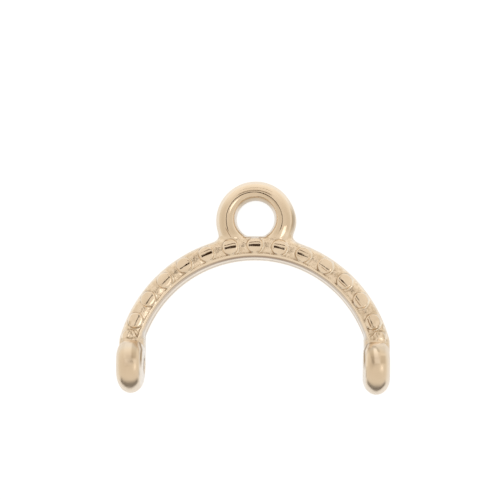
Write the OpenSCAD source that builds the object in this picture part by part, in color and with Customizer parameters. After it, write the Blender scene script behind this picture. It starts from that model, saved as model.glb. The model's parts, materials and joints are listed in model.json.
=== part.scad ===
// Beadwork end cap: one cast piece with a half-round arch, a loop on its crown for a jump ring,
// a row of raised beads along its front and a thick eye at each foot for the thread or wire.
// It lies on its flat back, front up. X is the width, Y points at the loop and Z is the depth.

/* [Arch] */
// Outer radius of the arch, seen from the front
arch_r = 9.66; // [8.6:0.02:11]
// Width of the arch's front face, from its inner edge to its outer edge
band_w = 1.5; // [1.4:0.02:1.6]
// Thickness of the arch, from its flat back to the crest of its front
band_t = 1.5; // [1.4:0.02:1.6]
// Radius of the front face, measured across the band
crown_r = 1.12; // [1.06:0.02:1.2]
// How far the inner wall leans in from front to back
draft = 0.18; // [0.06:0.02:0.2]

/* [Raised beads] */
// Number of raised beads
bead_n = 13; // [3:2:13]
// Diameter of one raised bead
bead_d = 1.08; // [0.8:0.02:1.1]
// Angle from one bead to the next, at the arch's centre
bead_pitch = 11; // [10:0.5:11]
// Height of the beads above the ground between them
bead_rise = 0.12; // [0.08:0.02:0.14]
// Width of the smooth rim between the beads and the inner edge
rim_w = 0.26; // [0.2:0.02:0.3]

/* [Top loop] */
// Outer diameter of the loop
loop_d = 5.48; // [5.2:0.04:6]
// Thickness of the loop, from its flat back to the crest of its front
loop_t = 1.4; // [1.3:0.02:1.46]
// Diameter of the loop's hole
loop_hole_d = 2.56; // [2.2:0.02:2.6]
// Distance from the arch's outer edge up to the loop's centre
loop_rise = 1.08; // [1:0.02:1.12]
// How much closer the hole sits to the loop's top than its centre
hole_shift = 0.12; // [0.08:0.02:0.14]
// Radius of the small fillets where the loop meets the arch
loop_fillet = 0.4; // [0.3:0.05:0.5]

/* [End eyes] */
// Outer diameter of an eye, seen along its hole
eye_d = 3.8; // [3.4:0.05:4.2]
// Width of an eye, along its hole
eye_w = 1.86; // [1.8:0.02:1.9]
// Diameter of the hole through an eye
eye_hole_d = 1.4; // [1:0.05:1.5]
// Distance from the middle of the part to the middle of an eye
eye_x = 8.41; // [8.36:0.01:8.46]
// Height of the eyes' holes above the arch's centre
eye_y = 0.51; // [0.4:0.01:0.7]
// Depth of the flat that lets an eye rest level with the back
eye_flat = 0.14; // [0.06:0.02:0.2]

/* [Hidden] */
$fn = 96;
plated = "#dfc29c";
back_bevel = 0.12;
front_bevel = 0.14;
// How far a cutting shape runs past what it cuts, and how far joined shapes reach into each other
past = 1;
overlap = 0.03;

band_mid_r = arch_r - band_w / 2;
band_in_front = arch_r - band_w;
band_in_back = band_in_front - draft;
crown_z = band_t - crown_r;
edge_z = crown_z + sqrt(pow(crown_r, 2) - pow(band_w / 2, 2));

bead_r = bead_d / 2;
bead_ring_r = band_in_front + rim_w + bead_r - overlap;

loop_r = loop_d / 2;
loop_hole_r = loop_hole_d / 2;
loop_y = arch_r + loop_rise;
hole_y = loop_y + hole_shift;
loop_in = loop_hole_r - 0.08;
loop_wire = loop_r - loop_in;
loop_land_z = loop_t - loop_wire / 2;
loop_root = 0.3;
web_root = 0.7;

eye_r = eye_d / 2;
eye_hole_r = eye_hole_d / 2;
eye_half = eye_w / 2;
eye_z = eye_r - eye_flat;
eye_mouth = 0.12;
leg_t = eye_z - eye_hole_r - 0.1;
leg_in = eye_x - eye_half + 0.06;
leg_out = eye_x + eye_half - 0.02;
leg_half = (leg_out - leg_in) / 2;
leg_x = (leg_out + leg_in) / 2;
leg_top = 2.7;
leg_foot = -0.5;
leg_bevel = 0.25;
band_end_y = eye_y + eye_hole_r + 0.05;
band_end_x = leg_out - overlap;

part_top = loop_y + loop_r;
part_bottom = eye_y - eye_r;
centre_y = (part_top + part_bottom) / 2;

// Section of the band: flat back, leaning inner wall and rounded front
module band_section() {
    intersection() {
        polygon([
            [band_in_back + back_bevel, 0],
            [arch_r - back_bevel, 0],
            [arch_r, back_bevel],
            [arch_r, edge_z - front_bevel],
            [arch_r - front_bevel, edge_z + front_bevel],
            [arch_r - front_bevel, band_t + past],
            [band_in_front, band_t + past],
            [band_in_front, edge_z - front_bevel],
            [band_in_back, back_bevel]
        ]);
        translate([band_mid_r, crown_z]) circle(r = crown_r);
    }
}

// What is taken off the front outside the smooth rim, to leave the ground between the beads
module ground_section() {
    difference() {
        translate([band_in_front + rim_w, crown_z]) square([band_w, crown_r + past]);
        translate([band_mid_r, crown_z]) circle(r = crown_r - bead_rise);
    }
}

// The raised beads are the spots that keep the full height of the front face
module bead_row() {
    for (i = [0 : bead_n - 1]) {
        turn = (i - (bead_n - 1) / 2) * bead_pitch;
        rotate(90 - turn) translate([bead_ring_r, 0, 0]) cylinder(r = bead_r, h = band_t + 2 * past);
    }
}

// The arch stops inside the eyes, and its outer wall runs straight down onto them
module arch_band() {
    intersection() {
        difference() {
            rotate_extrude(angle = 180) band_section();
            difference() {
                rotate_extrude(angle = 180) ground_section();
                bead_row();
            }
        }
        translate([-band_end_x, band_end_y, -past]) cube([2 * band_end_x, arch_r, band_t + 2 * past]);
    }
}

// Section of the loop: straight walls at the back, half round at the front
module loop_section() {
    union() {
        intersection() {
            translate([loop_in + loop_wire / 2, loop_land_z]) circle(d = loop_wire);
            translate([loop_in, loop_land_z / 2]) square([loop_wire, loop_t]);
        }
        polygon([
            [loop_in, 0],
            [loop_r - back_bevel, 0],
            [loop_r, back_bevel],
            [loop_r, loop_land_z],
            [loop_in, loop_land_z]
        ]);
    }
}

// The loop ends just inside the arch's outer edge
module top_loop() {
    difference() {
        translate([0, loop_y, 0]) rotate_extrude() loop_section();
        translate([0, 0, -past]) cylinder(r = arch_r - loop_root, h = band_t + 2 * past);
    }
}

// Web that rounds the corner between the loop and the arch, for the side given by 1 or -1.
// Its round is centred at the same distance from the arch's outer edge and from the loop's.
module loop_web(side) {
    to_arch = arch_r + loop_fillet - overlap;
    to_loop = loop_r + loop_fillet - overlap;
    web_y = (pow(to_arch, 2) - pow(to_loop, 2) + pow(loop_y, 2)) / (2 * loop_y);
    web_x = side * sqrt(pow(to_arch, 2) - pow(web_y, 2));
    in_arch = (arch_r - web_root) / to_arch;
    in_loop = (loop_r - web_root) / to_loop;
    translate([0, 0, back_bevel]) linear_extrude(loop_land_z) difference() {
        polygon([
            [web_x, web_y],
            [web_x * in_arch, web_y * in_arch],
            [web_x * in_loop, loop_y + (web_y - loop_y) * in_loop]
        ]);
        translate([web_x, web_y]) circle(r = loop_fillet);
    }
}

// Hole through the loop, bevelled at the back
module loop_bore() {
    translate([0, hole_y, 0]) {
        translate([0, 0, -past]) cylinder(r = loop_hole_r, h = band_t + 2 * past);
        translate([0, 0, -back_bevel]) {
            cylinder(r1 = loop_hole_r + 2 * back_bevel, r2 = loop_hole_r, h = 2 * back_bevel);
        }
    }
}

// Section of an eye: straight sides from inside its hole, and a full round outside
module eye_section() {
    intersection() {
        union() {
            translate([eye_r - eye_half, 0]) circle(r = eye_half);
            translate([0, -eye_half]) square([eye_r - eye_half, eye_w]);
        }
        translate([eye_hole_r / 2, -eye_w]) square([eye_r, 2 * eye_w]);
    }
}

// An eye stands on its rim, flattened where it meets the back's plane
module end_eye(side) {
    intersection() {
        translate([side * eye_x, eye_y, eye_z]) rotate([0, 90, 0]) rotate_extrude() eye_section();
        translate([side * eye_x - eye_w, eye_y - eye_d, 0]) cube([2 * eye_w, 2 * eye_d, 2 * eye_d]);
    }
}

// Short straight leg that carries an eye and blends it into the arch
module end_leg(side) {
    translate([side * leg_x, 0, 0]) intersection() {
        translate([0, leg_top, 0]) rotate([90, 0, 0]) linear_extrude(leg_top - leg_foot) polygon([
            [leg_bevel - leg_half, 0],
            [leg_half - leg_bevel, 0],
            [leg_half, leg_bevel],
            [leg_half, leg_t],
            [-leg_half, leg_t],
            [-leg_half, leg_bevel]
        ]);
        union() {
            translate([-2 * leg_half, leg_foot + leg_half, -past]) {
                cube([4 * leg_half, leg_top, leg_t + 2 * past]);
            }
            translate([0, leg_foot + leg_half, -past]) cylinder(r = leg_half, h = leg_t + 2 * past);
        }
        translate([-side * leg_x, 0, -past]) {
            cylinder(r = arch_r - back_bevel - overlap, h = leg_t + 2 * past);
        }
    }
}

// Hole through an eye, with a small countersink at each mouth
module eye_bore(side) {
    translate([side * eye_x, eye_y, eye_z]) rotate([0, 90, 0]) {
        cylinder(r = eye_hole_r, h = 2 * eye_w, center = true);
        for (m = [0, 1]) mirror([0, 0, m]) translate([0, 0, eye_half - eye_mouth]) {
            cylinder(r1 = eye_hole_r, r2 = eye_hole_r + 2 * eye_mouth, h = 2 * eye_mouth);
        }
    }
}

// The whole casting, moved so that the middle of its length is on the X axis
module end_cap() {
    color(plated) translate([0, -centre_y, 0]) difference() {
        union() {
            arch_band();
            top_loop();
            for (side = [-1, 1]) {
                loop_web(side);
                end_leg(side);
                end_eye(side);
            }
        }
        loop_bore();
        for (side = [-1, 1]) eye_bore(side);
    }
}

end_cap();
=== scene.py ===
"""The looks of the beadwork end cap: a cast piece plated in pale rose gold, lying on a white table.

Lengths are in mm until they reach Blender, which works in metres. Shapes are worked out with the
arch's centre as the origin, x to the right, y towards the loop and z out of the front. A shape is a
function that gives about how far each point is from its surface, negative inside.
"""
import json
import math
from collections import namedtuple

import bpy
import numpy as np
from mathutils import Matrix, Vector


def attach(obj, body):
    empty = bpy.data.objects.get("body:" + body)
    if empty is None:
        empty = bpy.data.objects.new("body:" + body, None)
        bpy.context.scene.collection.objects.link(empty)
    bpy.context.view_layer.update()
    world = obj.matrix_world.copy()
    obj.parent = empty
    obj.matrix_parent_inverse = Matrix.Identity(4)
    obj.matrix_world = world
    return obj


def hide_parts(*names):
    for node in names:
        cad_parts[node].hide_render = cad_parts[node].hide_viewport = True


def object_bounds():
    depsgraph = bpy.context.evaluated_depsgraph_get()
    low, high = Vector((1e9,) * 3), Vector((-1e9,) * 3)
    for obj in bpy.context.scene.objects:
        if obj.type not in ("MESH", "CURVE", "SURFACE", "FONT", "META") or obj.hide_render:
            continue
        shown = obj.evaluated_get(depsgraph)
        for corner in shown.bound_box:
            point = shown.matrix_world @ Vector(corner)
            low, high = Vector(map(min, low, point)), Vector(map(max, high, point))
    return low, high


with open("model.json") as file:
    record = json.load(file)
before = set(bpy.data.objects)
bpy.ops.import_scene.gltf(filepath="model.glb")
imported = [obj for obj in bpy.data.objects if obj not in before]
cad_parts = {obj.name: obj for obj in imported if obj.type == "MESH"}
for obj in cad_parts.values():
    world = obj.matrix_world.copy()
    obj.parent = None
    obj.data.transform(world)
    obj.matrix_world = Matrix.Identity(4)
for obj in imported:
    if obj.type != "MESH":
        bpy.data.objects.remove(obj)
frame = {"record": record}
cad_low, cad_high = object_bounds()
MM = 0.001

# Sizes that the frame gives
mounts = {mount["name"]: mount for mount in frame["record"]["mounts"]}
LOOP_HOLE_AT = mounts["loop"]["pos_m"]
EYE_AT = mounts["right_eye"]["pos_m"]
EYE_X = EYE_AT[0] / MM
EYE_Z = EYE_AT[2] / MM
EYE_HOLE_R = mounts["right_eye"]["dims"]["r_mm"]
EYE_HALF = cad_high.x / MM - EYE_X
EYE_R = cad_high.z / MM - EYE_Z

# Heights of the eyes' holes and tops, the eyes' inner sides, and the middle of the part's height
EYE_Y = 0.51
EYE_TOP = EYE_Y + EYE_R
EYE_INNER = EYE_X - EYE_HALF
CENTRE_Y = EYE_Y - EYE_AT[1] / MM

# The arch, as in the solid, and where it stops inside the eyes
ARCH_R = 9.66
BAND_W = 1.5
BAND_T = 1.5
CROWN_R = 1.12
DRAFT = 0.18
BAND_MID = ARCH_R - BAND_W / 2
BAND_IN = ARCH_R - BAND_W
CROWN_Z = BAND_T - CROWN_R
EDGE_Z = CROWN_Z + math.sqrt(CROWN_R ** 2 - (BAND_W / 2) ** 2)
ARCH_END_Y = EYE_Y + EYE_HOLE_R + 0.05
ARCH_END_X = 9.30

# The raised beads, the ground between them and the rim, and one more half-hidden bead at each end
BEADS = 13
MOST_BEAD = BEADS // 2
PITCH = math.radians(11)
LAST_BEAD = math.radians(74)
LAST_BEAD_FROM = math.radians(70)
BEAD_R = 0.555
BEAD_RING = 8.95
BEAD_PROUD = 0.005
RISE = 0.12
RIM = 0.26
RIM_LOWER = 0.01
GROOVE = 0.012
GROOVE_AT = 0.07
GROOVE_WIDTH = 0.06

# The loop. It bulges at the right, dips where it runs down into the arch, and has its crest nearer
# its hole than its outer edge, most of all at the top right. Angles are from its top, in radians
LOOP_R = 2.74
LOOP_TOP = cad_high.y / MM + CENTRE_Y
LOOP_Y = LOOP_TOP - LOOP_R
LOOP_T = 1.4
LOOP_MID_Z = 0.68
LOOP_THINNEST = 0.05
LOOP_POWER = 1.85
LOOP_CREST_R = 1.98
CREST_IN = 0.10
CREST_IN_TOP_RIGHT = 0.08
LOOP_ROOT = 0.25
LOOP_DIP = 0.12
DIP_FROM = 1.75
DIP_TO = 2.6
BULGE = 0.10
BULGE_AT = 1.62
BULGE_SPREAD = 0.35
HOLE_R = mounts["loop"]["dims"]["r_mm"] + 0.03
HOLE_Y = LOOP_HOLE_AT[1] / MM + CENTRE_Y - 0.03

# The eyes and their legs. A power of 2 gives an eye a round section, and more gives a squarer one,
# all of it at the front and a share of it at the top. The eyes' holes are cut through all that is
# further than CUT_FROM_X from the middle
EYE_DEPTH = 1.1
EYE_POWER = 2.0
EYE_EXTRA_POWER = 0.9
EYE_TOP_SHARE = 0.6
EYE_TOP_LOWER = 0.10
LEG_IN = 7.54
LEG_OUT = 9.32
LEG_HALF = (LEG_OUT - LEG_IN) / 2
LEG_X = (LEG_OUT + LEG_IN) / 2
LEG_T = 0.96
LEG_TOP = 2.7
LEG_FOOT = -0.5
LEG_INSET = 0.05
CUT_FROM_X = 6.5

# Widths over which edges are rounded and corners are filled
BEAD_ROUND = 0.15
BEAD_FILLET = 0.035
RIM_ROUND = 0.10
RIM_FILLET = 0.05
ARCH_OUTER_ROUND = 0.30
ARCH_INNER_ROUND = 0.08
ARCH_BACK_ROUND = 0.18
ARCH_END_ROUND = 0.06
LOOP_BACK_ROUND = 0.45
LOOP_ROOT_ROUND = 0.2
LOOP_FILLET = 0.10
LOOP_SIDE_FILLET = 0.55
LEG_FRONT_ROUND = 0.35
LEG_TOP_ROUND = 0.3
LEG_SIDE_ROUND = 0.1
LEG_FILLET = 0.12
EYE_FILLET = 0.10
EYE_MOUTH_ROUND = 0.1
LEG_BORE_ROUND = 0.05
BACK_ROUND = 0.10

# Where some changes set in and where they are whole: the lumps and the painted mottled highlights and
# shade beside the eyes, by angle from the crown; the wider fillet beside the loop, by distance from
# the middle; an eye's squarer front, by how far forward a point faces; the rest, by height above the
# eye's hole
LUMPS_FROM = (math.radians(68), math.radians(72))
MOTTLED_LIGHT_FROM = (math.radians(65), math.radians(69))
SIDE_FILLET_FROM = (2.0, 2.7)
SQUARER_FRONT_FROM = (0.3, 0.9)
SQUARER_TOP_FROM = (0.5, 1.2)
TOP_LOWER_FROM = (0.3, 1.3)
EYE_WAVE_FROM = (-0.6, 0.8)
EYE_WAVE_AT_FOOT = 0.3

# Unevenness of the casting, in mm: how much, the length and width of one patch, and the place in
# the noise that it is taken from. Length runs along the arch and width across it, but on the eyes
# length is along x and width along y
Uneven = namedtuple("Uneven", "amount length width place")
GROUND_COARSE = Uneven(0.012, 0.34, 0.30, (40, 9))
GROUND_FINE = Uneven(0.006, 0.15, 0.15, (90, 31))
BEAD_WEAR = Uneven(0.006, 0.5, 0.5, (7, 77))
BEAD_EDGE_WAVE = Uneven(0.02, 0.3, 0.3, (15, 50))
RIM_EDGE_WAVE = Uneven(0.02, 0.35, 1.0, (0, 3.3))
LUMPS = Uneven(0.035, 0.26, 0.24, (17, 70))
EYE_WAVE = Uneven(0.010, 0.42, 1.3, (5, 21))
EYE_FINE = Uneven(0.003, 0.35, 0.5, (60, 3))

# Unevenness of the tone, in the same columns. The loop's painted reflection rings waver by an angle,
# the mottled light is painted highlights and shade, and the grain of the whole front has its length
# along x and its width along y
BAND_PATCHES = Uneven(0.16, 0.8, 0.45, (11, 5))
GROUND_SPECKLE = Uneven(0.42, 0.17, 0.15, (3, 60))
LOOP_PATCHES = Uneven(0.10, 1.1, 0.2, (70, 4))
LOOP_WAVER = Uneven(1.0, 0.5, 1.0, (0, 5.5))
MOTTLED_LIGHT = Uneven(1.5, 0.19, 0.13, (51, 22))
FRONT_GRAIN = Uneven(0.05, 0.3, 1.2, (3, 8))

# The tone of the plating, which holds painted highlights, reflections and shade as well as its own
# unevenness: its even value, how much each part adds to it, and where. A step is the width over which
# the wave of the loop's painted reflection rings turns by one radian. Lines and edges on the loop are
# given by how far out from its crest each of their sides begins and ends
EVEN_TONE = 0.5
# Brighter in the eyes' holes: painted light
BORE_TONE = 0.5
BAND_TONE = 0.33
BAND_TONE_OUTWARDS = -0.04
RIM_TONE = 0.35
# The loop's tones below are all painted light: reflection rings, a brighter top, a highlight at the
# outer top, a lighter hole edge, shade at the hole's top, a highlight at the right foot, and a dark
# reflection and a highlight beside the bulge
LOOP_RINGS_TONE = 0.14
LOOP_RINGS_STEP = 0.1
LOOP_TOP_TONE = 0.12
LOOP_OUTER_TOP_TONE = 0.45
LOOP_OUTER_EDGE = (0.05, 0.3)
LOOP_FOOT_HIGHLIGHT = 0.6
LOOP_FOOT_AT = (2.04, 9.76)
LOOP_FOOT_SIZE = (0.25, 0.24)
HOLE_EDGE_TONE = 0.35
HOLE_EDGE = (-0.36, -0.46)
HOLE_TOP_SHADE = -1.15
BULGE_LINE_AT = 1.6
BULGE_LINE_SPREAD = 0.32
BULGE_DARK_REFLECTION = -1.6
BULGE_DARK_LINE = ((0.54, 0.60), (0.72, 0.80))
BULGE_HIGHLIGHT = 0.4
BULGE_BRIGHT_LINE = ((0.43, 0.48), (0.52, 0.56))

# Marks on the eyes' fronts and just above them, which are painted highlights and shade as well as
# polishing streaks: which eye, the middle across it at the mark's top and at its foot, the half-width
# at both, the heights of its top and foot above the middle of the eye's hole, all in mm, and how
# bright it is
Mark = namedtuple("Mark", "side mid_top mid_foot half_top half_foot top foot bright")
MARKS_AND_PAINTED_LIGHT = [
    Mark(-1, -0.10, -0.10, 0.24, 0.24, 1.44, 0.33, 0.22),
    Mark(-1, 0.37, 0.35, 0.18, 0.15, 1.50, 0.33, -0.62),
    Mark(-1, 0.43, 0.43, 0.12, 0.12, 0.25, 0.00, 0.35),
    Mark(-1, 0.00, 0.00, 0.26, 0.26, 0.28, -0.16, 0.34),
    Mark(-1, -0.10, -0.10, 0.42, 0.34, 1.80, 1.54, 0.90),
    Mark(-1, -0.14, -0.02, 0.34, 0.28, 1.95, 1.84, -1.40),
    Mark(-1, -0.30, -0.30, 0.42, 0.42, 2.20, 1.90, 0.70),
    Mark(1, -0.68, -0.68, 0.08, 0.08, 1.15, -0.10, 0.50),
    Mark(1, -0.42, -0.20, 0.18, 0.05, 1.19, 0.08, -0.85),
    Mark(1, -0.09, 0.07, 0.11, 0.18, 1.12, 0.08, 0.60),
    Mark(1, -0.17, -0.17, 0.14, 0.14, 1.32, 1.20, -1.20),
    Mark(1, 0.02, 0.17, 0.06, 0.06, 1.22, 0.88, -1.20),
    Mark(1, 0.38, 0.38, 0.25, 0.20, 1.30, 0.80, -0.30),
    Mark(1, 0.45, 0.45, 0.16, 0.16, 0.62, 0.08, -0.55),
    Mark(1, 0.00, -0.05, 0.34, 0.24, 1.80, 1.45, 0.90),
    Mark(1, -0.38, -0.32, 0.14, 0.18, 1.62, 1.50, -1.40),
]
MARK_SIDE_FADE = 0.06
MARK_TOP_FADE = 0.05
MARK_FOOT_FADE = 0.07

# The mesh: the grid's cell, the room round the casting, the step for slopes and the grid's slices
CELL = 0.07
ROOM = 0.2
SLOPE_STEP = 0.012
SLICE = 16
CORNERS = [(a, b, c) for a in (0, 1) for b in (0, 1) for c in (0, 1)]
STEPS = np.eye(3, dtype=int)

# How far a painted sheen pales the plating: on steep sides, in the eyes' holes, beside the eyes and
# in the loop's hole, where its upper edge keeps nearly all of its colour
PALE_SIDES = 0.3
PALE_BORES = 0.9
PALE_BESIDE_EYES = 0.8
PALE_LOOP_HOLE = 0.7
KEPT_AT_HOLE_TOP = 0.9

# Painted shade in recesses: how far off the surface the air is tested, how dark the shade is, how
# much darker beside the beads and how far from them, the most that a tone below 0 counts as shade,
# and the share of the air that is closed off where the shade sets in and where it is whole
RECESS_REACH = 0.08
RECESS_DARK = 0.10
RECESS_AT_BEADS = 0.45
RECESS_BEAD_SPREAD = 0.15
RECESS_BY_TONE = 0.8
RECESS_CLOSED = (0.05, 0.9)

# What counts as the ground: how far below the beads and the rim, and how close to its own surface
GROUND_BELOW = (0.02, 0.07)
GROUND_WITHIN = 0.03

# Heights above the back: where the fronts begin that the painted lines of shade and reflection lie
# on, and the middle of the painted shade line along the inner wall
ARCH_FRONT_Z = 0.9
BEAD_FRONT_Z = 1.15
EYE_FRONT_Z = 1.7
WALL_LINE_Z = 0.42

# Colours of the plating: by tone from dull to bright, in the painted sheen, in the painted shade of
# recesses and in the painted glints at the beads. The shares are what the painted lines of shade and
# reflection and the specks multiply the colour by
DULL_GOLD = (0.69, 0.56, 0.41)
EVEN_GOLD = (0.81, 0.67, 0.51)
BRIGHT_GOLD = (0.95, 0.81, 0.65)
PAINTED_SHEEN_COLOUR = (0.88, 0.82, 0.75)
RECESS_SHADE_BROWN = (0.47, 0.37, 0.27)
GLINT = (0.98, 0.90, 0.77)
OUTLINE_SHADE_SHARE = (0.45, 0.37, 0.28)
EDGE_REFLECTION_SHARE = (0.40, 0.32, 0.26)
WALL_SHADE_SHARE = (0.66, 0.62, 0.58)
EYE_SHADE_SHARE = (0.46, 0.35, 0.22)
SPECK_SHARE = (0.88, 0.86, 0.83)

# How rough the plating is, at its smoothest and its least smooth, on the ground and on the eyes
SMOOTHEST = 0.07
LEAST_SMOOTH = 0.12
GROUND_ROUGHNESS = 0.2
EYE_ROUGHNESS = 0.30
BUMP_DEPTH = 0.02

# The table, and the card that reflections show in its place
TABLE_HALF = 600
TABLE_Z = -0.010
TABLE_GREY = 0.30
TABLE_GLOW = 2.9
LOW_CARD_HALF = 500
LOW_CARD_Z = -0.004
LOW_CARD_COLOUR = (0.56, 0.583, 0.613)
LOW_CARD_GLOW = 0.87

# The card in front of the feet
FRONT_CARD_HALF = 14
FRONT_CARD_Y = -11
FRONT_CARD_TOP = 4.5
FRONT_CARD_TILT = math.radians(3.4)

# The studio's light, low down and overhead, and how much stronger it is on the loop's side
LOW_SKY = (0.88, 0.84, 0.76)
HIGH_SKY = (0.83, 0.765, 0.67)
HIGH_SKY_FROM = 0.75
STRONGER_FROM = 0.3
STRONGER_BY = 0.15

# The photo's camera: its direction and roll, its distance, how much its picture takes in, and the
# point that it looks at
CAMERA_AZIMUTH = math.radians(2.5)
CAMERA_ELEVATION = math.radians(-7.5)
CAMERA_ROLL = math.radians(0.62)
CAMERA_DISTANCE = 170.0
PICTURE_WIDTH = 34.7
SENSOR_WIDTH = 36.0
TARGET_X = -0.365
TARGET_Y = 8.68
TARGET_Z = 0.6

# Random values for the noise, the same on every run
NOISE_SEED = 7
LATTICE = np.random.default_rng(NOISE_SEED).uniform(-1, 1, (512, 64))


def noise(u, v):
    """Smooth noise between -1 and 1 that changes over a step of 1 in u or v."""
    column = np.floor(u).astype(int)
    row = np.floor(v).astype(int)
    part_u = u - column
    part_v = v - row
    part_u = part_u * part_u * (3 - 2 * part_u)
    part_v = part_v * part_v * (3 - 2 * part_v)

    def at(i, j):
        return LATTICE[i % LATTICE.shape[0], j % LATTICE.shape[1]]

    near = at(column, row) * (1 - part_u) + at(column + 1, row) * part_u
    far = at(column, row + 1) * (1 - part_u) + at(column + 1, row + 1) * part_u
    return near * (1 - part_v) + far * part_v


def uneven(kind, along, across):
    """Unevenness of one kind at each place along and across."""
    u = along / kind.length + kind.place[0]
    v = across / kind.width + kind.place[1]
    return kind.amount * noise(u, v)


def ease(start, end, value):
    """0 before the start, 1 past the end, and a smooth rise between. The end may be the lower."""
    share = np.clip((value - start) / (end - start), 0.0, 1.0)
    return share * share * (3 - 2 * share)


def plateau(value, rise, fall):
    """1 from the end of the rise to the start of the fall, and 0 outside both."""
    return ease(rise[0], rise[1], value) * ease(fall[1], fall[0], value)


def bell(value, middle, spread):
    """1 at the middle, and falling away on both sides."""
    return np.exp(-((value - middle) / spread) ** 2)


def trim(shape, limit, rounding):
    """What of a shape lies where the limit is negative too, with the new edge rounded."""
    near = np.maximum(rounding - np.abs(shape - limit), 0.0) / rounding
    return np.maximum(shape, limit) + near * near * rounding * 0.25


def join(shape, other, fillet):
    """Two shapes as one, with a fillet between them."""
    return -trim(-shape, -other, fillet)


def outside_beads(radius, turn):
    """How far each point is outside the nearest raised bead, seen from the front."""
    number = np.clip(np.round(turn / PITCH), -MOST_BEAD, MOST_BEAD)
    nearest = np.inf
    for from_middle in (turn - number * PITCH, np.abs(turn) - LAST_BEAD):
        sideways = radius * np.sin(from_middle)
        outwards = radius * np.cos(from_middle) - BEAD_RING
        nearest = np.minimum(nearest, np.hypot(sideways, outwards) - BEAD_R)
    return nearest


ArchParts = namedtuple("ArchParts", "ground bead rim wall_in wall_out from_bead")


def arch_parts(x, y, z):
    """Distances to the surfaces that bound the arch, and how far each point is outside a bead."""
    radius = np.hypot(x, y)
    turn = np.arctan2(x, y)
    along = BAND_MID * turn
    across = radius - BAND_MID
    from_bead = outside_beads(radius, turn)
    crown = np.hypot(across, z - CROWN_Z) - CROWN_R
    lumps = ease(*LUMPS_FROM, np.abs(turn)) * uneven(LUMPS, along, across)

    rough = uneven(GROUND_COARSE, along, across) + uneven(GROUND_FINE, along, across)
    groove = GROOVE * bell(from_bead, GROOVE_AT, GROOVE_WIDTH)
    ground = crown + RISE + rough + groove + lumps

    bead_top = crown - BEAD_PROUD + uneven(BEAD_WEAR, along, across) + lumps
    bead_edge = from_bead + uneven(BEAD_EDGE_WAVE, along, across) + 2 * lumps
    bead = trim(bead_top, bead_edge, BEAD_ROUND)

    rim_edge = BAND_IN + RIM + uneven(RIM_EDGE_WAVE, along, 0 * along)
    rim = trim(crown + RIM_LOWER, radius - rim_edge, RIM_ROUND)

    lean = DRAFT / EDGE_Z
    wall_in = (BAND_IN - DRAFT + lean * z - radius) / math.hypot(1, lean)
    wall_out = radius - ARCH_R
    return ArchParts(ground, bead, rim, wall_in, wall_out, from_bead)


def arch(x, y, z):
    """The half-round arch with its beads and its rim."""
    parts = arch_parts(x, y, z)
    front = join(parts.ground, parts.bead, BEAD_FILLET)
    front = join(front, parts.rim, RIM_FILLET)
    body = trim(front, parts.wall_out, ARCH_OUTER_ROUND)
    body = trim(body, parts.wall_in, ARCH_INNER_ROUND)
    body = trim(body, -z, ARCH_BACK_ROUND)
    past_end = np.maximum(ARCH_END_Y - y, np.abs(x) - ARCH_END_X)
    return trim(body, past_end, ARCH_END_ROUND)


def loop(x, y, z):
    """A round wire between the loop's outer circle and its hole, flat at the back."""
    turn = np.arctan2(x, y - LOOP_Y)
    outer = np.hypot(x, y - LOOP_Y) - LOOP_R - BULGE * bell(turn, BULGE_AT, BULGE_SPREAD)
    inner = HOLE_R - np.hypot(x, y - HOLE_Y)
    half = np.maximum(-(outer + inner) / 2, LOOP_THINNEST)
    towards_hole = CREST_IN + CREST_IN_TOP_RIGHT * (np.cos(turn) + np.sin(turn))
    from_crest = (outer - inner) / 2 + towards_hole
    inside_crest = np.maximum(half - towards_hole, LOOP_THINNEST)
    width = np.where(from_crest > 0, half + towards_hole, inside_crest)
    height = LOOP_T - LOOP_MID_Z - LOOP_DIP * ease(DIP_FROM, DIP_TO, np.abs(turn))
    rise = np.maximum(z - LOOP_MID_Z, 0.0) / height
    full = (np.abs(from_crest / width) ** LOOP_POWER + rise ** LOOP_POWER) ** (1 / LOOP_POWER)
    round_front = (full - 1) * height
    body = np.where(z > LOOP_MID_Z, round_front, np.maximum(outer, inner))
    return trim(body, -z, LOOP_BACK_ROUND)


def eye_bore(y, z):
    """The hole through an eye as a limit: negative outside the hole."""
    return EYE_HOLE_R - np.hypot(y - EYE_Y, z - EYE_Z)


def eye(x, y, z):
    """A thick ring on edge, its hole along x and its outside rounded."""
    up = y - EYE_Y
    out = np.hypot(up * (1 + EYE_TOP_LOWER * ease(*TOP_LOWER_FROM, up)), z - EYE_Z)
    outwards = np.maximum(out - (EYE_R - EYE_DEPTH), 0.0) / EYE_DEPTH
    sideways = np.abs(np.abs(x) - EYE_X) / EYE_HALF
    frontness = np.clip((z - EYE_Z) / np.maximum(out, 0.1), 0.0, 1.0)
    squarer_top = EYE_TOP_SHARE * ease(*SQUARER_TOP_FROM, up)
    squarer = np.maximum(ease(*SQUARER_FRONT_FROM, frontness), squarer_top)
    power = EYE_POWER + EYE_EXTRA_POWER * squarer
    full = (outwards ** power + sideways ** power) ** (1 / power) - 1
    waviness = EYE_WAVE_AT_FOOT + ease(*EYE_WAVE_FROM, up)
    rough = waviness * uneven(EYE_WAVE, x, y) + uneven(EYE_FINE, x, y)
    return trim(full * (EYE_HALF + EYE_DEPTH) / 2 + rough, eye_bore(y, z), EYE_MOUTH_ROUND)


def leg(x, y, z):
    """The block under each end of the arch that carries its eye, round at the foot."""
    below = np.minimum(y - (LEG_FOOT + LEG_HALF), 0.0)
    side = np.hypot(np.abs(x) - LEG_X, below) - LEG_HALF
    body = trim(side, z - LEG_T, LEG_FRONT_ROUND)
    return trim(body, y - LEG_TOP, LEG_TOP_ROUND)


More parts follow.
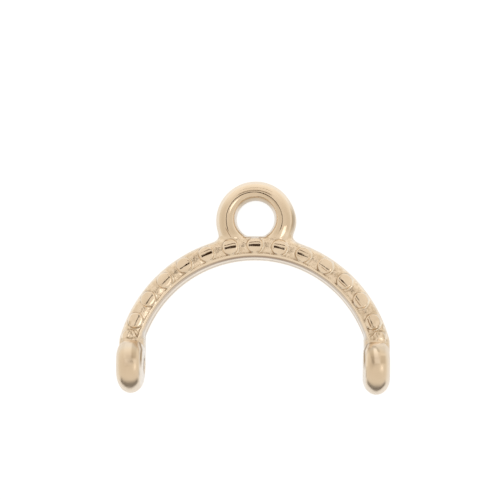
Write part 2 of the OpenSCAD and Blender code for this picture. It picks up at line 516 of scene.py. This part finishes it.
def casting(x, y, z):
    """The whole casting."""
    radius = np.hypot(x, y)
    wide = np.abs(x)
    ring = trim(loop(x, y, z), ARCH_R - LOOP_ROOT - radius, LOOP_ROOT_ROUND)
    legs = trim(leg(x, y, z), radius - ARCH_R + LEG_INSET, LEG_SIDE_ROUND)
    loop_fillet = LOOP_FILLET + LOOP_SIDE_FILLET * ease(*SIDE_FILLET_FROM, wide)
    body = join(arch(x, y, z), ring, loop_fillet)
    body = join(body, legs, LEG_FILLET)
    body = join(body, eye(x, y, z), EYE_FILLET)
    body = np.where(wide > CUT_FROM_X, trim(body, eye_bore(y, z), LEG_BORE_ROUND), body)
    return trim(body, -z, BACK_ROUND)


def eye_share(x, y):
    """1 on the end eyes and 0 on the rest."""
    across = ease(EYE_INNER - 0.18, EYE_INNER + 0.12, np.abs(x))
    return across * ease(EYE_TOP + 0.4, EYE_TOP - 0.1, y)


def bore_share(y, z):
    """1 in the eyes' holes and 0 outside them."""
    return ease(-0.12, -0.04, eye_bore(y, z))


def hole_top(x, y):
    """1 at the upper inner edge of the loop's hole, where painted shade makes the darkest part of the
    loop.
    """
    out = np.hypot(x, y - HOLE_Y)
    upwards = (y - HOLE_Y) / np.maximum(out, 0.1)
    return ease(HOLE_R + 0.24, HOLE_R + 0.12, out) * ease(0.2, 0.8, upwards)


def marks_and_painted_light(x, y, z):
    """Painted highlights and shade, and streaks of polishing, on the eyes' fronts, and a faint grain
    over the whole front.
    """
    total = uneven(FRONT_GRAIN, x, y)
    up = y - EYE_Y
    for mark in MARKS_AND_PAINTED_LIGHT:
        share = np.clip((up - mark.foot) / (mark.top - mark.foot), 0.0, 1.0)
        middle = mark.side * EYE_X + mark.mid_foot + (mark.mid_top - mark.mid_foot) * share
        half = mark.half_foot + (mark.half_top - mark.half_foot) * share
        inside = ease(half + MARK_SIDE_FADE, half - MARK_SIDE_FADE, np.abs(x - middle))
        inside = inside * ease(mark.foot - MARK_FOOT_FADE, mark.foot + MARK_FOOT_FADE, up)
        inside = inside * ease(mark.top + MARK_TOP_FADE, mark.top - MARK_TOP_FADE, up)
        total = total + mark.bright * inside
    return total * ease(1.0, 1.3, z)


def band_tone(x, y, on_ground):
    """What the arch's front adds: it is bright, brighter still on the rim, and uneven."""
    radius = np.hypot(x, y)
    along = ARCH_R * np.arctan2(x, y)
    across = radius - BAND_MID
    rim_end = BAND_IN + RIM
    rim = RIM_TONE * plateau(radius, (BAND_IN, BAND_IN + 0.05), (rim_end - 0.08, rim_end))
    patches = uneven(BAND_PATCHES, along, across) + BAND_TONE_OUTWARDS * across
    return BAND_TONE + patches + rim + on_ground * uneven(GROUND_SPECKLE, along, across)


def mottled_light_and_shade(x, y, z):
    """Painted highlights and shade: dark and bright spots in the short stretch of the front just
    above each eye.
    """
    radius = np.hypot(x, y)
    turn = np.arctan2(x, y)
    above_eye = ease(*MOTTLED_LIGHT_FROM, np.abs(turn)) * ease(EYE_TOP - 0.15, EYE_TOP + 0.05, y)
    on_front = ease(BAND_IN + 0.1, BAND_IN + 0.3, radius) * ease(1.0, 1.2, z)
    return above_eye * on_front * uneven(MOTTLED_LIGHT, ARCH_R * turn, radius - BAND_MID)


def loop_tone(x, y):
    """What the loop adds, nearly all of it painted light: reflection rings, a brighter top, and
    painted shade, highlights and reflections at its hole, right foot and bulge.
    """
    turn = np.arctan2(x, y - LOOP_Y)
    from_crest = np.hypot(x, y - LOOP_Y) - LOOP_CREST_R
    waver = uneven(LOOP_WAVER, turn, 0 * turn)
    # All but the patches is painted light: reflection rings, a brighter top, and the highlights,
    # reflections and shade that follow
    total = LOOP_RINGS_TONE * np.cos(from_crest / LOOP_RINGS_STEP + waver)
    total += uneven(LOOP_PATCHES, LOOP_R * turn, from_crest)
    total += LOOP_TOP_TONE * np.cos(turn)
    at_top = ease(0.1, 0.9, np.cos(turn))
    total += LOOP_OUTER_TOP_TONE * at_top * ease(*LOOP_OUTER_EDGE, from_crest)
    total += HOLE_EDGE_TONE * ease(*HOLE_EDGE, from_crest)
    total += HOLE_TOP_SHADE * hole_top(x, y)
    off_x = (x - LOOP_FOOT_AT[0]) / LOOP_FOOT_SIZE[0]
    off_y = (y - LOOP_FOOT_AT[1]) / LOOP_FOOT_SIZE[1]
    total += LOOP_FOOT_HIGHLIGHT * np.exp(-off_x ** 4 - off_y ** 4)
    beside_bulge = bell(turn, BULGE_LINE_AT, BULGE_LINE_SPREAD)
    total += BULGE_DARK_REFLECTION * beside_bulge * plateau(from_crest, *BULGE_DARK_LINE)
    total += BULGE_HIGHLIGHT * beside_bulge * plateau(from_crest, *BULGE_BRIGHT_LINE)
    return total


def tone(x, y, z, on_ground):
    """How bright the plating is at each point: its own unevenness, and the highlights, reflections
    and shade painted into it.
    """
    on_eye = eye_share(x, y)
    on_loop = ease(ARCH_R - 0.1, ARCH_R + 0.3, np.hypot(x, y))
    in_bore = bore_share(y, z)
    total = EVEN_TONE + BORE_TONE * in_bore * on_eye + loop_tone(x, y) * on_loop
    total += band_tone(x, y, on_ground) * (1 - on_eye) * (1 - on_loop)
    return total + mottled_light_and_shade(x, y, z) + marks_and_painted_light(x, y, z) * (1 - in_bore)


def pale(x, y, z, normals):
    """How far a painted sheen pales the plating: a little on steep sides, and more in and beside the
    holes.
    """
    not_hole_top = 1 - hole_top(x, y)
    not_eye_top = 1 - eye_share(x, y) * ease(EYE_TOP - 1.1, EYE_TOP - 0.6, y)
    steep = ease(0.75, 0.25, np.abs(normals[:, 2]))
    beside_eyes = ease(EYE_INNER + 0.27, EYE_INNER + 0.17, np.abs(x))
    beside_eyes = beside_eyes * ease(EYE_TOP + 0.8, EYE_TOP + 0.4, y)
    loop_hole = ease(HOLE_R + 0.26, HOLE_R + 0.12, np.hypot(x, y - HOLE_Y))
    return np.maximum.reduce([
        PALE_SIDES * steep * not_hole_top * not_eye_top,
        PALE_BORES * bore_share(y, z),
        PALE_BESIDE_EYES * beside_eyes,
        PALE_LOOP_HOLE * loop_hole * (1 - KEPT_AT_HOLE_TOP * hole_top(x, y)),
    ])


def slope_of(points):
    """Gradient of the casting's distance at each point, which points straight off the surface."""
    slope = np.empty_like(points)
    for axis in range(3):
        step = SLOPE_STEP * STEPS[axis]
        rise = casting(*(points + step).T) - casting(*(points - step).T)
        slope[:, axis] = rise / (2 * SLOPE_STEP)
    return slope


def unit(vectors):
    """The same directions with a length of 1."""
    return vectors / np.maximum(np.linalg.norm(vectors, axis=1, keepdims=True), 1e-9)


def sample_grid(low, count, cell):
    """The casting's distance at each point of a grid, worked out a slice at a time."""
    axes = [low[i] + cell * np.arange(count[i]) for i in range(3)]
    value = np.empty(count, np.float32)
    for start in range(0, count[0], SLICE):
        part = slice(start, start + SLICE)
        value[part] = casting(*np.meshgrid(axes[0][part], axes[1], axes[2], indexing="ij"))
    return value


def crossed_cells(inside):
    """The grid cells that have corners both inside and outside."""
    last = np.array(inside.shape) - 1
    full = np.zeros(last, np.int8)
    for a, b, c in CORNERS:
        full += inside[a:last[0] + a, b:last[1] + b, c:last[2] + c]
    return np.argwhere((full > 0) & (full < len(CORNERS)))


def points_in_cells(value, cells):
    """For each cell, the mean of the places where the surface crosses its edges, in grid steps."""
    total = np.zeros((len(cells), 3))
    count = np.zeros(len(cells))
    for corner in CORNERS:
        for axis in range(3):
            if corner[axis]:
                continue
            near = value[tuple((cells + corner).T)]
            far = value[tuple((cells + corner + STEPS[axis]).T)]
            cut = (near < 0) != (far < 0)
            share = np.where(cut, near / np.where(cut, near - far, 1), 0)
            total[cut] += (np.array(corner) + share[:, None] * STEPS[axis])[cut]
            count[cut] += 1
    return cells + total / count[:, None]


def quads_between(inside, number):
    """A quad across each grid edge that passes through the surface, facing out of the casting. It
    joins the points in the four cells round the edge, which have these numbers."""
    last = np.array(inside.shape) - 1
    quads = []
    for axis in range(3):
        near = [slice(1, last[i]) for i in range(3)]
        far = list(near)
        near[axis] = slice(0, last[axis])
        far[axis] = slice(1, last[axis] + 1)
        starts = inside[tuple(near)]
        edges = np.argwhere(starts != inside[tuple(far)])
        leaving = starts[tuple(edges.T)]
        one = STEPS[(axis + 1) % 3]
        two = STEPS[(axis + 2) % 3]
        cells_round_edge = (edges, edges + one, edges + one + two, edges + two)
        quad = np.stack([number[tuple(cells.T)] for cells in cells_round_edge], 1)
        quad[~leaving] = quad[~leaving][:, ::-1]
        quads.append(quad)
    return np.concatenate(quads)


def surface_net(low, high, cell):
    """Quads round the surface: a point in each grid cell that it crosses, joined across cells."""
    low = np.array(low)
    count = np.ceil((np.array(high) - low) / cell).astype(int) + 1
    value = sample_grid(low, count, cell)
    inside = value < 0
    cells = crossed_cells(inside)
    number = np.full(count - 1, -1, np.int64)
    number[tuple(cells.T)] = np.arange(len(cells))
    return low + cell * points_in_cells(value, cells), quads_between(inside, number)


def onto_surface(points, rounds=3, most=0.02):
    """Moves each point straight to the surface, in a few rounds of limited length."""
    for _ in range(rounds):
        slope = slope_of(points)
        steepness = np.maximum((slope * slope).sum(1), 0.05)
        move = (casting(*points.T) / steepness)[:, None] * slope
        length = np.linalg.norm(move, axis=1, keepdims=True)
        points = points - move * np.minimum(1, most / np.maximum(length, 1e-9))
    return points


def even_out(points, quads, share=0.5):
    """Moves each point along the surface towards the middle of its neighbours."""
    total = np.zeros_like(points)
    count = np.zeros(len(points))
    for a, b in ((0, 1), (1, 2), (2, 3), (3, 0)):
        for start, end in ((a, b), (b, a)):
            np.add.at(total, quads[:, start], points[quads[:, end]])
            np.add.at(count, quads[:, start], 1)
    move = total / count[:, None] - points
    normal = unit(slope_of(points))
    return points + share * (move - (move * normal).sum(1, keepdims=True) * normal)


def plating_layers(points, normals):
    """What the plating reads at each point of the casting, by the layer's name."""
    x, y, z = points.T
    parts = arch_parts(x, y, z)
    below_relief = ease(*GROUND_BELOW, np.minimum(parts.bead, parts.rim))
    on_ground = below_relief * (np.abs(parts.ground) < GROUND_WITHIN)
    shade = tone(x, y, z, on_ground)
    open_air = casting(*(points + RECESS_REACH * normals).T) / RECESS_REACH
    # Painted shade: darker where the air round the surface is closed off, most of all beside the
    # beads, and wherever the tone goes below 0
    dark = RECESS_DARK + RECESS_AT_BEADS * bell(parts.from_bead, 0, RECESS_BEAD_SPREAD)
    recess_shade = dark * ease(*RECESS_CLOSED, 1 - open_air)
    return {
        "ground": on_ground,
        "recess_shade": np.maximum(recess_shade, np.clip(-shade, 0.0, RECESS_BY_TONE)),
        "tone": shade,
        "worn": eye_share(x, y),
        "pale": pale(x, y, z, normals),
    }


def make_casting():
    """The casting as one smooth mesh, moved to where the solid lies."""
    low = (-EYE_X - EYE_HALF - ROOM, EYE_Y - EYE_R - ROOM, -ROOM)
    high = (EYE_X + EYE_HALF + ROOM, LOOP_TOP + ROOM, EYE_Z + EYE_R + ROOM)
    points, quads = surface_net(low, high, CELL)
    points = onto_surface(points)
    points = onto_surface(even_out(points, quads))
    normals = unit(slope_of(points))
    mesh = bpy.data.meshes.new("casting")
    mesh.from_pydata(((points - (0, CENTRE_Y, 0)) * MM).tolist(), [], quads.tolist())
    mesh.polygons.foreach_set("use_smooth", np.ones(len(quads), bool))
    for name, values in plating_layers(points, normals).items():
        layer = mesh.attributes.new(name, "FLOAT", "POINT")
        layer.data.foreach_set("value", values.astype(np.float32))
    mesh.update()
    mesh.normals_split_custom_set_from_vertices(normals.tolist())
    casting_object = bpy.data.objects.new("casting", mesh)
    bpy.context.scene.collection.objects.link(casting_object)
    return casting_object


class NodeValue:
    """A value or colour that nodes work out. Arithmetic on it adds the nodes for the arithmetic."""

    def __init__(self, tree, socket):
        self.tree = tree
        self.socket = socket

    def __add__(self, other):
        return self.tree.work_out("ADD", self, other)

    def __sub__(self, other):
        return self.tree.work_out("SUBTRACT", self, other)

    def __rsub__(self, other):
        return self.tree.work_out("SUBTRACT", other, self)

    def __mul__(self, other):
        return self.tree.work_out("MULTIPLY", self, other)

    def __truediv__(self, other):
        return self.tree.work_out("DIVIDE", self, other)

    def __gt__(self, other):
        return self.tree.work_out("GREATER_THAN", self, other)

    def __lt__(self, other):
        return self.tree.work_out("LESS_THAN", self, other)

    def __abs__(self):
        return self.tree.work_out("ABSOLUTE", self)

    def at_least(self, limit):
        return self.tree.work_out("MAXIMUM", self, limit)

    def at_most(self, limit):
        return self.tree.work_out("MINIMUM", self, limit)

    def clipped(self):
        """The value kept between 0 and 1."""
        node = self.tree.nodes.new("ShaderNodeClamp")
        self.tree.feed(node.inputs["Value"], self)
        return NodeValue(self.tree, node.outputs["Result"])

    def line(self, middle, width, strength=1.0):
        """A line where the value is at the middle, fading to nothing over half the width."""
        off = abs(self - middle) * (2 / width)
        return ((1 - off) * strength).clipped()

    def blend(self, share, colour):
        """This colour, and more of the other one as the share goes from 0 to 1."""
        return self.tree.mix("MIX", self, share, colour)

    def darker(self, share, colour):
        """This colour, and multiplied by the other one as the share goes from 0 to 1."""
        return self.tree.mix("MULTIPLY", self, share, colour)


class NodeTree:
    """The nodes of a material or of the world, with a short way to add each kind."""

    def __init__(self, owner):
        """The owner is the material or the world."""
        owner.use_nodes = True
        self.nodes = owner.node_tree.nodes
        self.links = owner.node_tree.links
        self.coordinates = self.nodes.new("ShaderNodeTexCoord")

    def feed(self, socket, value):
        """Links what nodes work out to a socket, or sets the socket to a plain value."""
        if isinstance(value, NodeValue):
            self.links.new(value.socket, socket)
        else:
            socket.default_value = value

    def work_out(self, operation, *values):
        """The result of one operation on values that are plain or worked out by nodes."""
        node = self.nodes.new("ShaderNodeMath")
        node.operation = operation
        for socket, value in zip(node.inputs, values):
            self.feed(socket, value)
        return NodeValue(self, node.outputs["Value"])

    def mix(self, mode, colour, share, other):
        """A colour mixed with a plain one: the share sets how far the mode takes effect."""
        node = self.nodes.new("ShaderNodeMix")
        node.data_type = "RGBA"
        node.blend_type = mode
        share_socket, first_colour, second_colour = node.inputs[0], node.inputs[6], node.inputs[7]
        self.feed(share_socket, share)
        self.feed(first_colour, colour)
        self.feed(second_colour, (*other, 1))
        return NodeValue(self, node.outputs[2])

    def ramp(self, value, *stops):
        """The colours of the stops, which are each a position and a colour, and those between."""
        node = self.nodes.new("ShaderNodeValToRGB")
        elements = node.color_ramp.elements
        for element, (position, colour) in zip(elements, (stops[0], stops[-1])):
            element.position = position
            element.color = (*colour, 1)
        for position, colour in stops[1:-1]:
            elements.new(position).color = (*colour, 1)
        self.feed(node.inputs["Fac"], value)
        return NodeValue(self, node.outputs["Color"])

    def place(self, kind):
        """The x, y and z of each point, in coordinates of the given kind."""
        node = self.nodes.new("ShaderNodeSeparateXYZ")
        self.links.new(self.coordinates.outputs[kind], node.inputs["Vector"])
        return [NodeValue(self, node.outputs[axis]) for axis in "XYZ"]

    def layer(self, name):
        """The value of a layer of the mesh at each point."""
        node = self.nodes.new("ShaderNodeAttribute")
        node.attribute_name = name
        return NodeValue(self, node.outputs["Fac"])

    def cloud(self, scale, detail=2.0):
        """Smooth noise that stays put on the object; the scale is in patches for each metre."""
        node = self.nodes.new("ShaderNodeTexNoise")
        self.links.new(self.coordinates.outputs["Object"], node.inputs["Vector"])
        node.inputs["Scale"].default_value = scale
        node.inputs["Detail"].default_value = detail
        return NodeValue(self, node.outputs["Fac"])

    def bump(self, height, strength):
        """The node that tilts the surface by a height, so that another bump can follow it."""
        node = self.nodes.new("ShaderNodeBump")
        node.inputs["Distance"].default_value = BUMP_DEPTH * MM
        self.feed(node.inputs["Height"], height)
        self.feed(node.inputs["Strength"], strength)
        return node


Spot = namedtuple("Spot", "x y z radius above_eyes")
NearBead = namedtuple("NearBead", "away lit below on_last on_front")


def spot_on_casting(tree):
    """Where each point of the casting lies, in mm from the arch's centre."""
    x, y, z = [value / MM for value in tree.place("Object")]
    y = y + CENTRE_Y
    radius = tree.work_out("SQRT", x * x + y * y)
    return Spot(x, y, z, radius, y > EYE_TOP)


def nearest_bead(tree, spot):
    """How each point lies to the nearest raised bead: how far from its middle, how far round to
    its lit side and to below it, whether it is a last, half-hidden one, and whether it's in front."""
    turn = tree.work_out("ARCTAN2", spot.x, spot.y)
    number = tree.work_out("ROUND", turn / PITCH).at_most(MOST_BEAD).at_least(-MOST_BEAD)
    on_last = abs(turn) > LAST_BEAD_FROM
    stretch = on_last * (LAST_BEAD / (MOST_BEAD * PITCH) - 1) + 1.0
    middle = number * PITCH * stretch
    right = spot.x - tree.work_out("SINE", middle) * BEAD_RING
    up = spot.y - tree.work_out("COSINE", middle) * BEAD_RING
    away = tree.work_out("SQRT", right * right + up * up)
    lit = (right * 0.9 - up * 0.4) / away
    below = (right * 0.3 - up) / away
    on_front = (spot.z > BEAD_FRONT_Z) * (spot.radius > BAND_IN + 0.8 * RIM)
    return NearBead(away, lit, below, on_last, on_front)


def bead_outline_shade(tree, bead):
    """Painted shade: a broken dark line round each bead, one inside it at its lit side and one below
    it.
    """
    outline = bead.away.line(BEAD_R + 0.01, width=0.13) * (0.65 - bead.lit * 0.7).clipped()
    inner = bead.away.line(BEAD_R - 0.09, width=0.11) * (bead.lit * 0.55).clipped()
    ripple = bead.away.line(BEAD_R + 0.15, width=0.10) * (bead.below - 0.45).clipped()
    broken = ((tree.cloud(scale=2400) - 0.38) * 3.8).clipped()
    fainter_on_last = 1 - bead.on_last * 0.7
    return outline.at_least(inner).at_least(ripple) * broken * bead.on_front * fainter_on_last


def bead_glints(bead):
    """A bright line at the lit side of each bead."""
    glint = bead.away.line(BEAD_R + 0.04, width=0.13) * (bead.lit * 1.2 - 0.2).clipped()
    return glint * bead.on_front * (1 - bead.on_last)


def edge_reflection_line(spot):
    """A painted dark reflection along the arch's inner edge, strongest at the crown."""
    near_crown = (1.2 - abs(spot.x) / 9).at_least(0.3).clipped()
    line = spot.radius.line(BAND_IN - 0.02, width=0.23, strength=1.6)
    return line * near_crown * (spot.z > ARCH_FRONT_Z) * spot.above_eyes


def wall_shade_line(spot):
    """Painted shade: a fainter line along the middle of the arch's inner wall."""
    on_wall = spot.radius < BAND_IN - 0.02
    return spot.z.line(WALL_LINE_Z, width=0.34) * on_wall * spot.above_eyes


def eye_shade_line(spot):
    """Painted shade: a dark line down the inner side of each eye, which bends outwards at the top."""
    over = (spot.y - (EYE_TOP - 0.9)).at_least(0.0)
    from_side = abs(spot.x) - over * 0.35
    fade = ((spot.y - 0.15) * 1.6).clipped()
    line = from_side.line(EYE_INNER + 0.12, width=0.15, strength=1.6)
    return line * (spot.z > EYE_FRONT_Z) * fade


def plating_colour(tree):
    """Rose gold by its tone, paler or darker where the layers of painted sheen and shade say, with
    painted lines of shade and reflection along the relief.
    """
    spot = spot_on_casting(tree)
    bead = nearest_bead(tree, spot)
    # The tone holds painted highlights, reflections and shade as well as its own unevenness
    brightness_with_painted_light = tree.layer("tone") + (tree.cloud(scale=500) - 0.5) * 0.3
    colour = tree.ramp(brightness_with_painted_light, (0.0, DULL_GOLD), (0.5, EVEN_GOLD), (1.0, BRIGHT_GOLD))
    # A painted sheen pales the colour
    colour = colour.blend(tree.layer("pale"), PAINTED_SHEEN_COLOUR)
    # Painted shade browns it in recesses
    colour = colour.blend(tree.layer("recess_shade"), RECESS_SHADE_BROWN)
    # Painted lines of shade and reflection along the relief, and painted glints beside the beads
    colour = colour.darker(bead_outline_shade(tree, bead), OUTLINE_SHADE_SHARE)
    colour = colour.blend(bead_glints(bead), GLINT)
    colour = colour.darker(edge_reflection_line(spot), EDGE_REFLECTION_SHARE)
    colour = colour.darker(wall_shade_line(spot), WALL_SHADE_SHARE)
    colour = colour.darker(eye_shade_line(spot), EYE_SHADE_SHARE)
    specks = ((tree.cloud(scale=4000) - 0.5) * 5).clipped()
    return colour.darker(tree.layer("ground") * specks, SPECK_SHARE)


def plating_roughness(tree):
    """Smooth in patches, and rougher on the ground and on the eyes."""
    cloudy = ((tree.cloud(scale=900) - 0.35) / 0.35).clipped()
    rough = cloudy * (LEAST_SMOOTH - SMOOTHEST) + SMOOTHEST
    rough = rough + (GROUND_ROUGHNESS - rough) * tree.layer("ground")
    return rough + (EYE_ROUGHNESS - rough) * tree.layer("worn")


def plating_bumps(tree):
    """Faint waves everywhere, and a fine grain on the ground."""
    wave = tree.bump(tree.cloud(scale=1400, detail=3.0), strength=0.25)
    grain = tree.bump(tree.cloud(scale=5000, detail=3.0), strength=tree.layer("ground"))
    tree.links.new(wave.outputs["Normal"], grain.inputs["Normal"])
    return NodeValue(tree, grain.outputs["Normal"])


def plated_metal():
    """Polished pale rose-gold plating."""
    mat = bpy.data.materials.new("plated_metal")
    tree = NodeTree(mat)
    shader = tree.nodes["Principled BSDF"]
    shader.inputs["Metallic"].default_value = 1.0
    tree.feed(shader.inputs["Base Color"], plating_colour(tree))
    tree.feed(shader.inputs["Roughness"], plating_roughness(tree))
    tree.feed(shader.inputs["Normal"], plating_bumps(tree))
    return mat


def plain(name, colour, glow=0.0):
    """A dull material of one colour, which may glow in that colour."""
    mat = bpy.data.materials.new(name)
    mat.use_nodes = True
    shader = mat.node_tree.nodes["Principled BSDF"]
    shader.inputs["Base Color"].default_value = (*colour, 1)
    shader.inputs["Roughness"].default_value = 0.9
    shader.inputs["Specular IOR Level"].default_value = 0.0
    if glow:
        shader.inputs["Emission Color"].default_value = (*colour, 1)
        shader.inputs["Emission Strength"].default_value = glow
    return mat


def fading(mat):
    """Fades a card out over its top part and in the middle of its length, and partly at its foot."""
    tree = NodeTree(mat)
    solid = (1, 1, 1)
    clear = (0, 0, 0)
    along, _, up = tree.place("Generated")
    height = tree.ramp(up, (0.0, (0.2, 0.2, 0.2)), (0.2, solid), (0.6, solid), (1.0, clear))
    gap = tree.ramp(along, (0.36, solid), (0.46, clear), (0.54, clear), (0.64, solid))
    tree.feed(tree.nodes["Principled BSDF"].inputs["Alpha"], height * gap)
    return mat


def staged(name, corners, mat):
    """A flat rectangle with its corners in mm, which is staging and no part of the object."""
    mesh = bpy.data.meshes.new(name)
    mesh.from_pydata(corners, [], [(0, 1, 2, 3)])
    mesh.transform(Matrix.Scale(MM, 4))
    mesh.materials.append(mat)
    obj = bpy.data.objects.new(name, mesh)
    bpy.context.scene.collection.objects.link(obj)
    return obj


def level(half_width, half_height):
    """Corners of a level rectangle round the origin."""
    signs = ((-1, -1), (1, -1), (1, 1), (-1, 1))
    return [(i * half_width, j * half_height, 0) for i, j in signs]


def reflected_only(obj):
    """Hides a card from the camera and from dull surfaces, and lets it cast no shadow."""
    obj.visible_camera = False
    obj.visible_diffuse = False
    obj.visible_shadow = False


def card(name, slope, distance, size, mat, turn=0.0):
    """Card above the table, seen only in reflections. Its distance is in mm and its turn in
    degrees. Its place and size are slopes from the upright: x to the right and y towards the loop,
    1 meaning 45 degrees."""
    width, height = size
    obj = staged(name, level(width / 2 * distance, height / 2 * distance), mat)
    obj.location = Vector((slope[0], slope[1], 1)) * distance * MM
    obj.location.y += (TARGET_Y - CENTRE_Y) * MM
    obj.rotation_euler.z = math.radians(turn)
    reflected_only(obj)


def front_card():
    """Low upright card in front of the feet, seen only in reflections."""
    x, y, top = FRONT_CARD_HALF, FRONT_CARD_Y, FRONT_CARD_TOP
    grey = fading(plain("grey_card", (0.20, 0.19, 0.185)))
    obj = staged("front_card", [(-x, y, 0), (x, y, 0), (x, y, top), (-x, y, top)], grey)
    obj.rotation_euler.y = FRONT_CARD_TILT
    reflected_only(obj)


def low_card():
    """The table as the metal reflects it: less bright than where the picture shows it directly."""
    mat = plain("low_card", LOW_CARD_COLOUR, LOW_CARD_GLOW)
    obj = staged("low_card", level(LOW_CARD_HALF, LOW_CARD_HALF), mat)
    obj.location.z = LOW_CARD_Z * MM
    reflected_only(obj)


def make_table():
    """The white table, which glows, so that shadows hardly show on it."""
    white = plain("white_table", (TABLE_GREY, TABLE_GREY, TABLE_GREY), TABLE_GLOW)
    table = staged("table", level(TABLE_HALF, TABLE_HALF), white)
    table.location.z = TABLE_Z * MM


def make_studio():
    """Light from all round: paler low down than overhead, and stronger on the loop's side."""
    world = bpy.data.worlds.new("studio")
    tree = NodeTree(world)
    _, towards_loop, up = tree.place("Generated")
    sky = tree.ramp(up, (0.0, LOW_SKY), (HIGH_SKY_FROM, HIGH_SKY))
    side = ((towards_loop - STRONGER_FROM) / (1 - STRONGER_FROM)).clipped()
    background = tree.nodes["Background"]
    tree.feed(background.inputs["Color"], sky)
    tree.feed(background.inputs["Strength"], side * STRONGER_BY + 1.0)
    bpy.context.scene.world = world


def make_cards():
    """What the metal mirrors: the dark camera, its stand and arm, a lamp, a dark edge far behind,
    something low in front, and the table."""
    dark = plain("dark_card", (0.035, 0.015, 0.004))
    brown = plain("brown_card", (0.25, 0.15, 0.08))
    stand = plain("stand_card", (0.10, 0.05, 0.02))
    lamp = plain("lamp", (1.0, 0.97, 0.92), 0.42)
    card("lens_card", slope=(-0.06, 0.13), distance=76, size=(0.17, 0.30), mat=dark)
    card("stand_card", slope=(-0.05, 0.57), distance=76, size=(0.5, 0.12), mat=stand)
    card("far_card", slope=(0.0, 1.35), distance=165, size=(1.2, 0.10), mat=brown)
    card("lamp_card", slope=(0.55, -0.24), distance=165, size=(0.42, 0.42), mat=lamp)
    card("arm_card", slope=(-0.30, -0.12), distance=76, size=(0.36, 0.08), mat=brown, turn=-20)
    front_card()
    low_card()


def make_camera():
    """The photo's camera: nearly straight above, a little to the right, and turned with the photo."""
    target = Vector((TARGET_X, TARGET_Y - CENTRE_Y, TARGET_Z)) * MM
    back = Vector((
        math.sin(CAMERA_AZIMUTH) * math.cos(CAMERA_ELEVATION),
        math.sin(CAMERA_ELEVATION),
        math.cos(CAMERA_AZIMUTH) * math.cos(CAMERA_ELEVATION),
    ))
    level_right = Vector((0, 1, 0)).cross(back).normalized()
    level_up = back.cross(level_right)
    right = level_right * math.cos(CAMERA_ROLL) + level_up * math.sin(CAMERA_ROLL)
    up = level_up * math.cos(CAMERA_ROLL) - level_right * math.sin(CAMERA_ROLL)
    data = bpy.data.cameras.new("camera")
    data.sensor_width = SENSOR_WIDTH
    data.lens = SENSOR_WIDTH * CAMERA_DISTANCE / PICTURE_WIDTH
    data.clip_start = 0.005
    data.clip_end = 5.0
    camera = bpy.data.objects.new("camera", data)
    camera.matrix_world = Matrix((right, up, back)).transposed().to_4x4()
    camera.location = target + back * CAMERA_DISTANCE * MM
    bpy.context.scene.collection.objects.link(camera)
    bpy.context.scene.camera = camera


bpy.context.scene.view_settings.view_transform = "Standard"
make_camera()
make_table()
make_studio()
make_cards()
piece = make_casting()
piece.data.materials.append(plated_metal())
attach(piece, "root")
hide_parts("end_cap")
